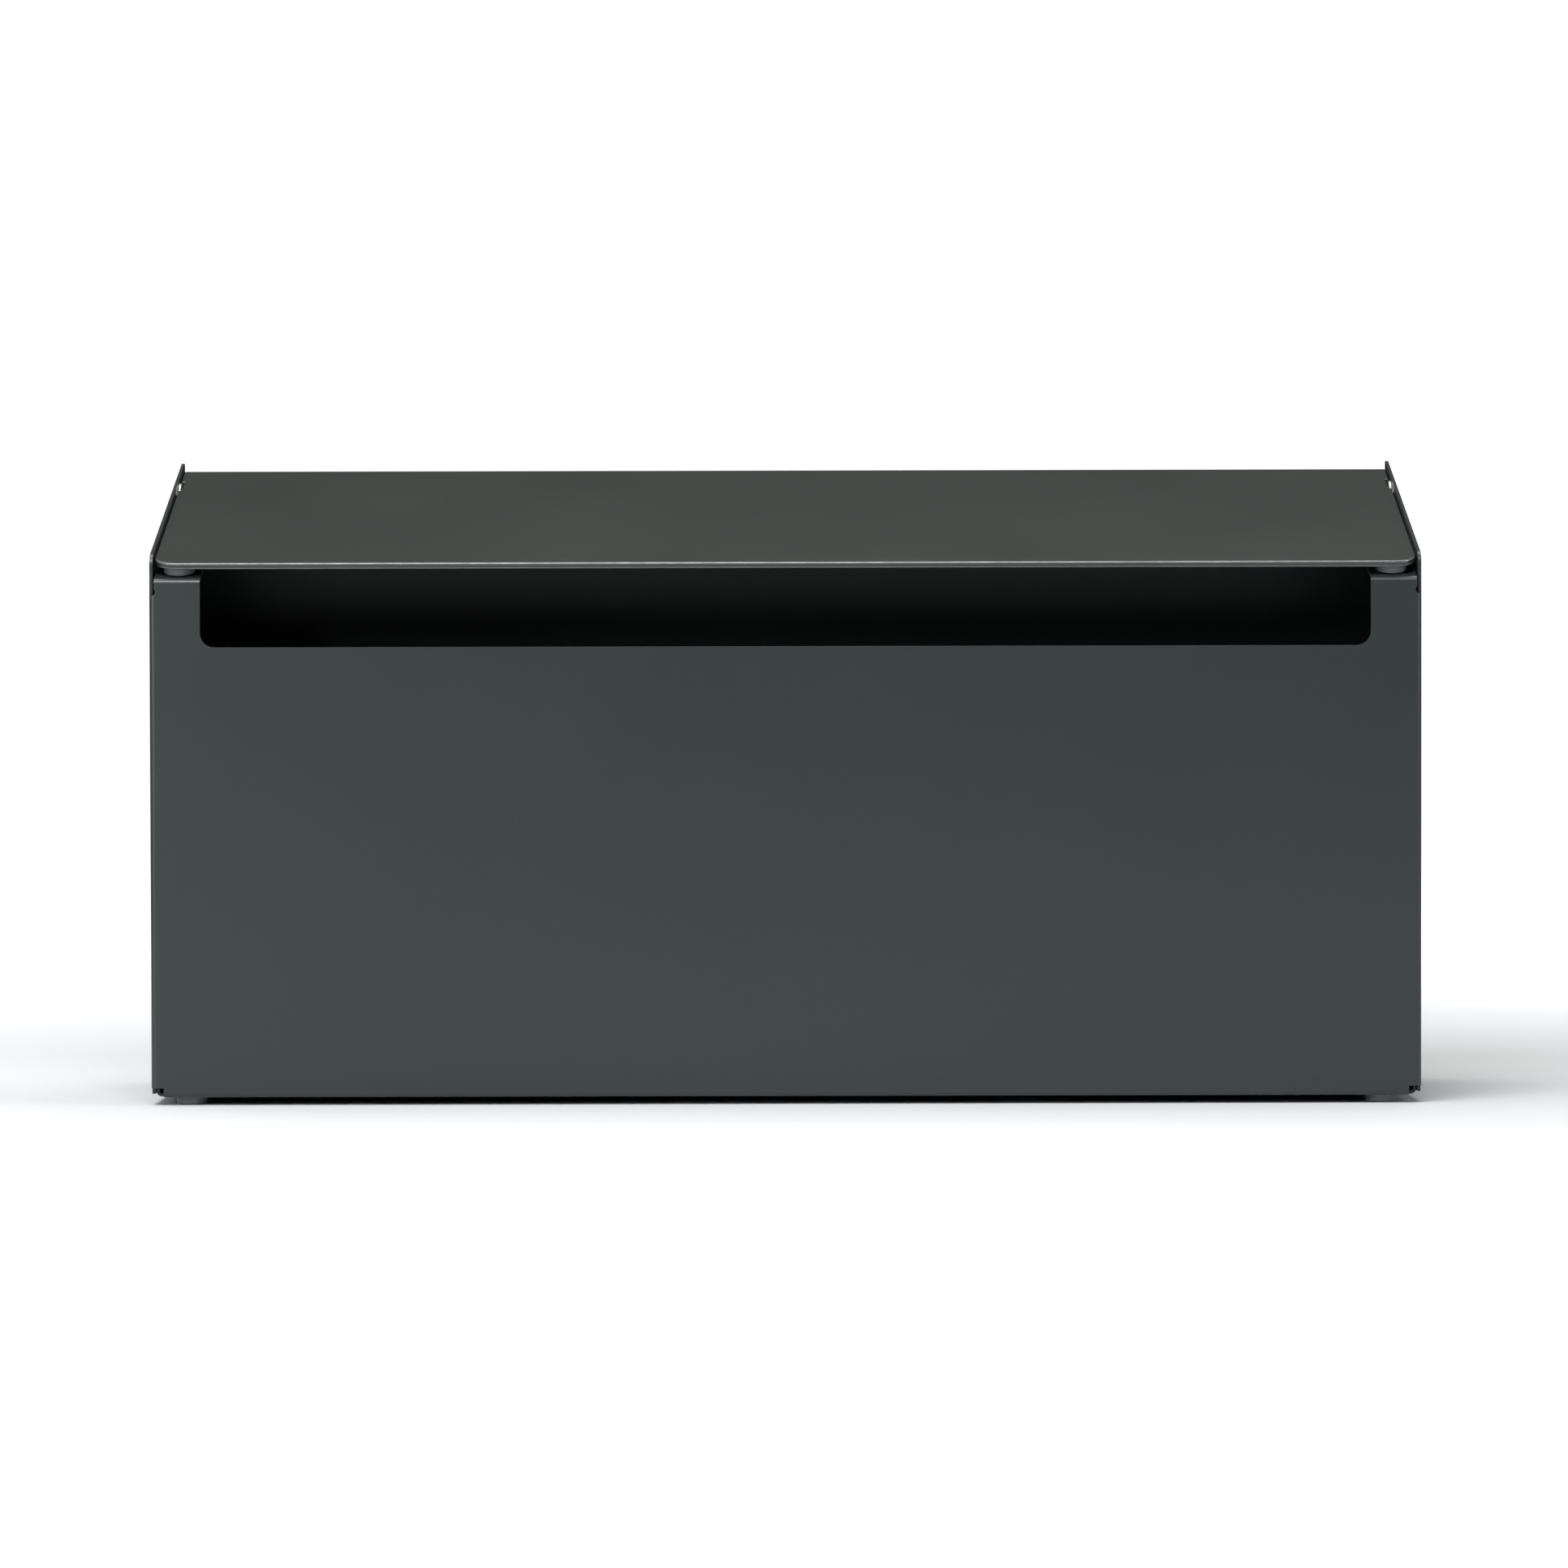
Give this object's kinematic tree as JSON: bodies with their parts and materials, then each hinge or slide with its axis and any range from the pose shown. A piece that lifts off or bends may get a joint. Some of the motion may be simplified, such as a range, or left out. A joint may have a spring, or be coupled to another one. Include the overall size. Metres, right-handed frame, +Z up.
{
  "type": "lift-lid drop box",
  "caption": "Landscape drop box of folded sheet steel with a wide front posting slot under a sloping lift-up lid that turns between two raised cheeks.",
  "frame": {"origin": "middle of the footprint (width and depth) on the surface that the feet stand on", "axes": "+Z up, front with the posting slot towards -Y, wall face towards +Y, +X to the right of someone facing the front"},
  "size_m": [0.4018, 0.108, 0.205],
  "materials": {
    "coated_steel": "fine-textured satin powder coat, anthracite grey with a slight green cast",
    "bright_steel": "bare zinc-plated steel, semi-bright",
    "grey_rubber": "matt grey polyurethane rubber"
  },
  "bodies": {
    "box": {"body_shell": "coated_steel", "back_panel": "coated_steel", "panel_rivets": "coated_steel", "foot_front_left": "grey_rubber", "foot_front_right": "grey_rubber", "foot_rear_left": "grey_rubber", "foot_rear_right": "grey_rubber"},
    "lid": {"lid_plate": "coated_steel", "hinge_lug_left": "coated_steel", "hinge_lug_right": "coated_steel", "pivot_pin_left": "bright_steel", "pivot_pin_right": "bright_steel", "pivot_washer_left": "bright_steel", "pivot_washer_right": "bright_steel", "lid_bumper_left": "grey_rubber", "lid_bumper_right": "grey_rubber"}
  },
  "joints": [
    {"name": "lid_hinge", "type": "hinge", "parent": "box", "child": "lid", "pos_m": [0, 0.034, 0.19254], "axis": [-1, 0, 0], "range_deg": [0, 115]}
  ]
}
